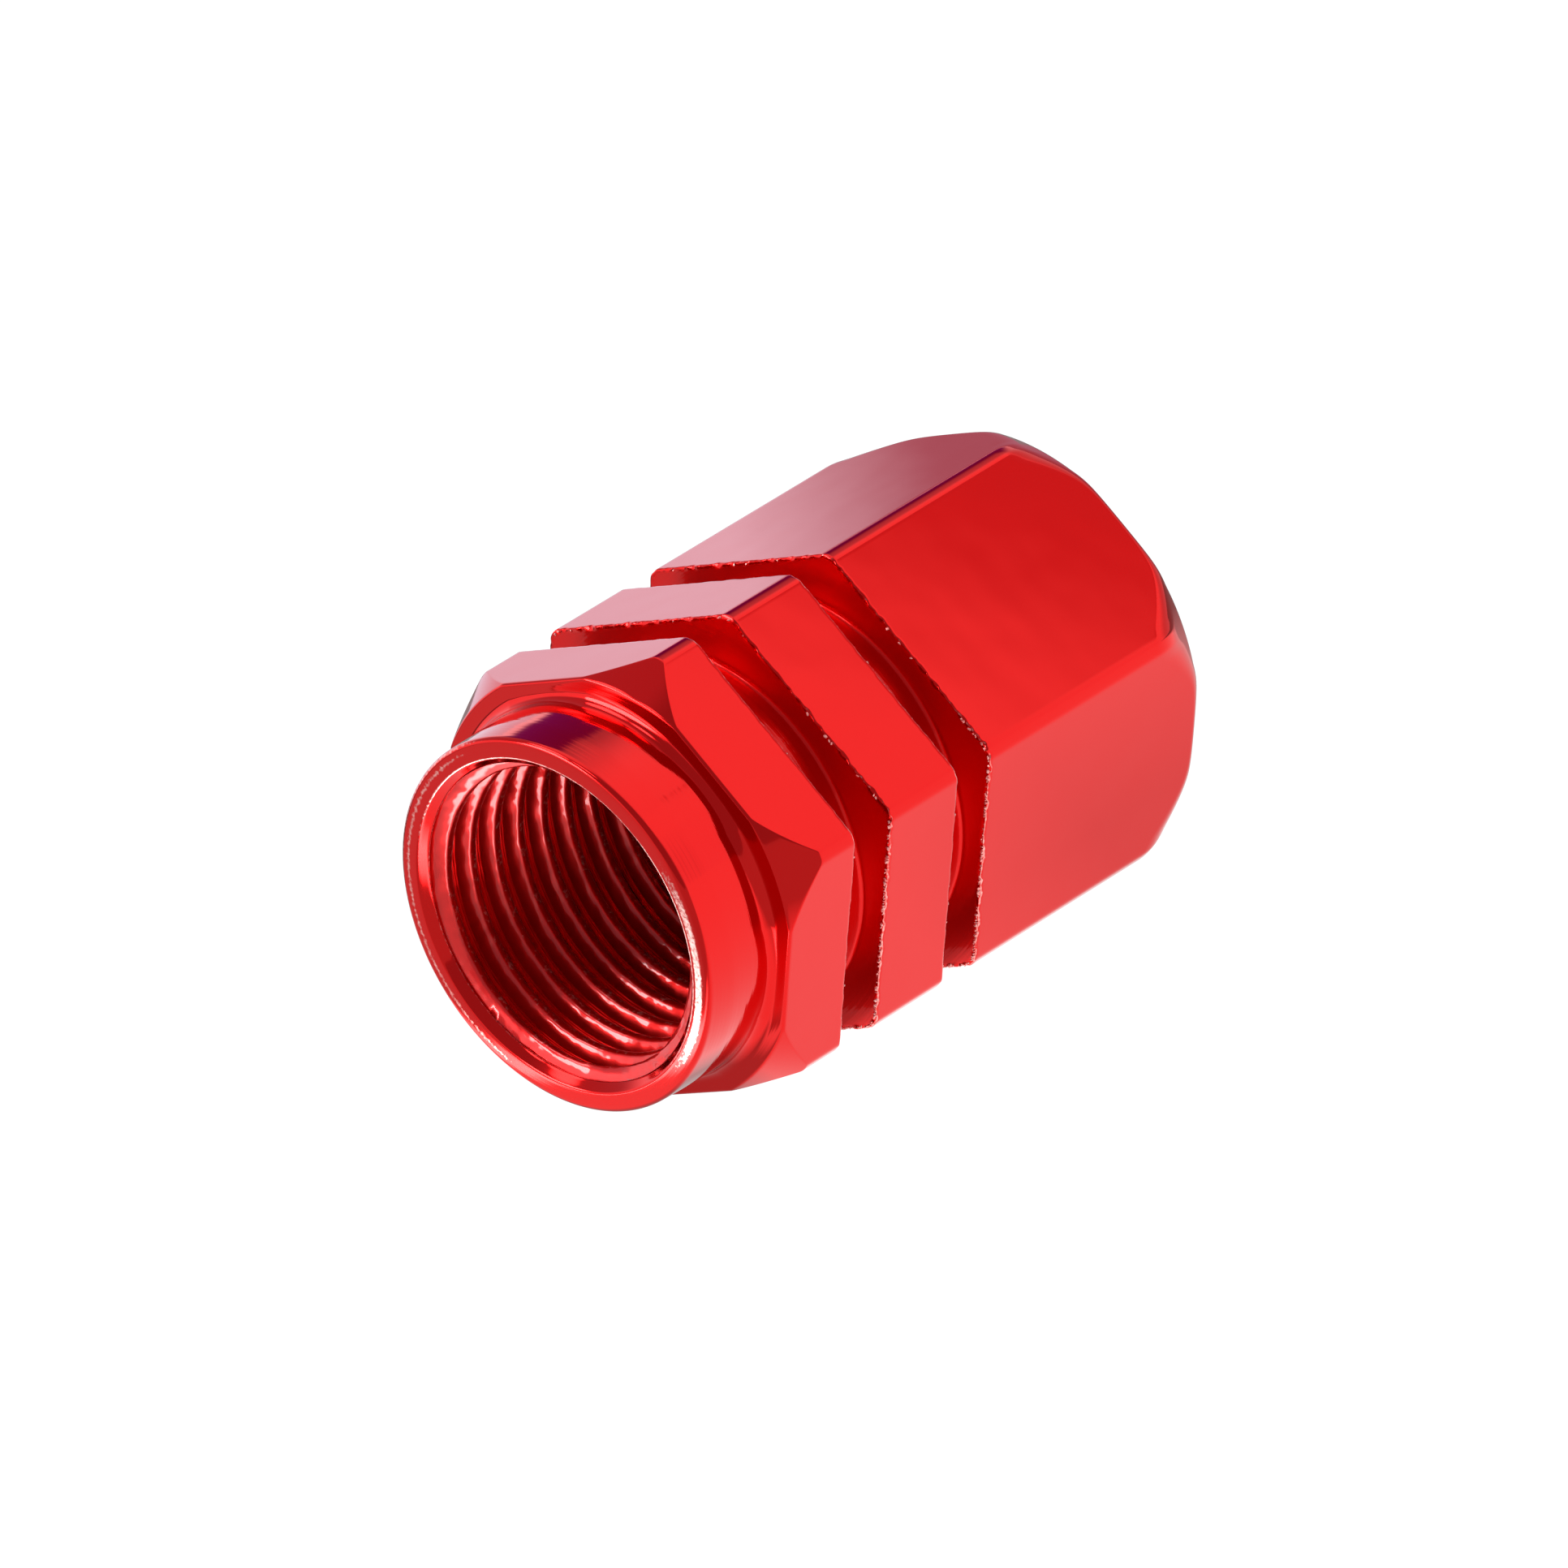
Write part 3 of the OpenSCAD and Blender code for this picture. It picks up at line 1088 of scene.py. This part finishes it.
# %% [markdown]
# The room that the metal mirrors
#
# Polished metal has almost no colour of its own to show: it shows the room, and each face of
# the cap mirrors one direction of it. A studio is mostly white, with dark cards that draw the
# dark lines round a shape. Here the world is painted as soft patches, each with the direction
# of its middle and the angles between which it fades out. White stays low behind the cap, a
# large soft light hangs at the right, and the side of the camera is darker.

# %% Paint the room
ROOM_WHITE = "FDFAFF"
ROOM_STRENGTH = 1.3
ROOM_PATCHES = (
    # direction of the middle, full inside, gone outside (degrees), colour, strength
    ((0.00, 0.00, 1.00), 52, 66, "C6B8C6", 1.0),
    ((-0.55, -0.80, 0.15), 58, 72, "A89AA2", 1.0),
    ((0.64, 0.44, 0.63), 12, 17, "70208A", 1.35),
    ((0.75, -0.35, 0.55), 14, 34, "FFFFFF", 1.28),
    ((0.30, 0.08, 0.95), 14, 22, "FFFFFF", 1.15),
    ((-0.40, 0.25, 0.88), 8, 13, "FFFFFF", 5.0),
    ((-0.47, -0.10, 0.88), 4, 8, "FFFFFF", 5.0),
    ((1.00, 0.00, 0.15), 22, 36, "D0C8CC", 1.3),
    ((-0.80, 0.40, 0.45), 10, 15, "FFFFFF", 14.0),
)


def bright(code, strength):
    """Linear colour of a hex code times its strength, which may pass what a screen can show."""
    return [v * strength for v in colour(code)]


def painted_room():
    """World of soft patches, one laid over another."""
    world = bpy.data.worlds.new("painted_room")
    world.use_nodes = True
    tree = world.node_tree
    tree.nodes.clear()
    direction = add(tree, "ShaderNodeTexCoord").outputs["Generated"]
    below = {}
    for middle, full, gone, code, strength in ROOM_PATCHES:
        aim = Vector(middle).normalized()
        nearness = add(tree, "ShaderNodeVectorMath", {0: direction}, {1: aim}, operation="DOT_PRODUCT")
        cover = add(
            tree, "ShaderNodeMapRange", {"Value": nearness.outputs["Value"]},
            {"From Min": math.cos(math.radians(gone)), "From Max": math.cos(math.radians(full))},
            interpolation_type="SMOOTHSTEP",
        )
        covered = add(
            tree, "ShaderNodeMix", {"Factor": cover.outputs[0], **below},
            {"A": bright(ROOM_WHITE, ROOM_STRENGTH), "B": bright(code, strength)},
            data_type="RGBA", clamp_result=False,
        )
        below = {"A": covered.outputs["Result"]}
    sky = add(tree, "ShaderNodeBackground", {"Color": below["A"]})
    add(tree, "ShaderNodeOutputWorld", {"Surface": sky.outputs[0]})
    return world


bpy.context.scene.world = painted_room()
bpy.context.scene.view_settings.view_transform = "Standard"
print("room painted with", len(ROOM_PATCHES), "patches")

# %% [markdown]
# Graded cards
#
# The world is infinitely far away, so a flat face mirrors the same spot of it all over and
# looks painted. A card near the part is different: it slides along the face as the view moves
# across it, so a card that changes from light to dark gives the face a smooth gradient. One
# card stands behind the cap for the top flat, and one hangs at the right for the next flat.

# %% Hang the graded cards
CARDS = (
    # name, direction and distance of its middle (mm), width and height (mm),
    # direction, start and end of its fade (mm), its two colours, glow
    (
        "back_card", (0.643, 0.728, 0.239), 105, 260, 44,
        (0.749, -0.662, 0.0), (0.6, 6.4), ("E5EFFF", "A87283"), 1.22,
    ),
    (
        "key_card", (0.643, -0.571, 0.511), 100, 60, 20,
        (0.550, 0.808, 0.211), (-2.0, 3.0), ("FFFFFF", "D0A0A6"), 1.29,
    ),
)


def graded_paper(name, along, reach, shades, strength):
    """Glowing paper that changes from one shade to another along one direction."""
    material, tree = new_material(name)
    place = add(tree, "ShaderNodeTexCoord").outputs["Object"]
    across = add(tree, "ShaderNodeVectorMath", {0: place}, {1: along}, operation="DOT_PRODUCT")
    fade = add(
        tree, "ShaderNodeMapRange", {"Value": across.outputs["Value"]},
        {"From Min": reach[0] * MM, "From Max": reach[1] * MM},
    )
    shade = add(
        tree, "ShaderNodeMix", {"Factor": fade.outputs[0]},
        {"A": colour(shades[0]), "B": colour(shades[1])}, data_type="RGBA",
    )
    glow = add(tree, "ShaderNodeEmission", {"Color": shade.outputs["Result"]}, {"Strength": strength})
    add(tree, "ShaderNodeOutputMaterial", {"Surface": glow.outputs[0]})
    return material


for name, direction, distance, width, height, along, reach, shades, glow in CARDS:
    aim = Vector(direction).normalized()
    sideways = aim.cross(Vector((0, 0, 1))).normalized()
    upwards = sideways.cross(aim)
    middle = Vector((0, 0, AXIS_Z)) + aim * distance
    corners = [
        (middle + sideways * x * width / 2 + upwards * y * height / 2) * MM for x, y in SQUARE
    ]
    card = flat_sheet(name, corners, graded_paper(name, along, reach, shades, glow))
    only_mirrored(card)
    print(name, "hangs", distance, "mm from the cap")

# %% [markdown]
# Fasten the pieces
#
# The shell, the thread and the chips are one piece of metal on the real cap. Together they
# stand for the measured body, so they move with it and take its place. The washer keeps its
# own mesh and needs none of this.

# %% Fasten the pieces to the model
for piece in (shell, thread, chips):
    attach(piece, "root")
    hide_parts("cap_body")
